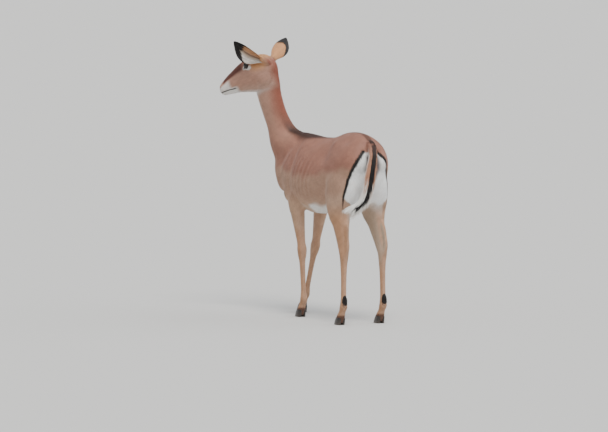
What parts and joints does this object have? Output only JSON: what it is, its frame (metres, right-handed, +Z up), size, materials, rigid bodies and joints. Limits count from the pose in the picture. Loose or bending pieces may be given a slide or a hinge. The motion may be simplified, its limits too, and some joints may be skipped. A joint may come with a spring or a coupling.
{
  "type": "impala ewe",
  "caption": "Life-size standing antelope ewe, an impala without horns, her head turned to her left, her right foreleg forward and the tip of her tail swung left.",
  "frame": {"origin": "on the floor under the middle of the animal's bounding box, level with the soles of the hooves", "axes": "+X is forward, from the tail towards the chest; +Y is the animal's left; +Z is up"},
  "size_m": [0.9774, 0.37, 1.2055],
  "materials": {
    "coat": "matte",
    "pale_coat": "matte",
    "horn": "satin",
    "eye": "gloss"
  },
  "bodies": {
    "root": {"torso": "coat", "neck": "coat", "head": "coat", "ear_left": "coat", "ear_right": "coat", "tail": "coat", "fore_left_upper": "pale_coat", "fore_left_shin": "pale_coat", "fore_right_upper": "pale_coat", "fore_right_shin": "pale_coat", "hind_left_upper": "pale_coat", "hind_left_shin": "pale_coat", "hind_right_upper": "pale_coat", "hind_right_shin": "pale_coat", "eye_left": "eye", "eye_right": "eye", "hoof_fore_left_inner": "horn", "hoof_fore_left_outer": "horn", "hoof_fore_right_inner": "horn", "hoof_fore_right_outer": "horn", "hoof_hind_left_inner": "horn", "hoof_hind_left_outer": "horn", "hoof_hind_right_inner": "horn", "hoof_hind_right_outer": "horn"}
  },
  "joints": []
}
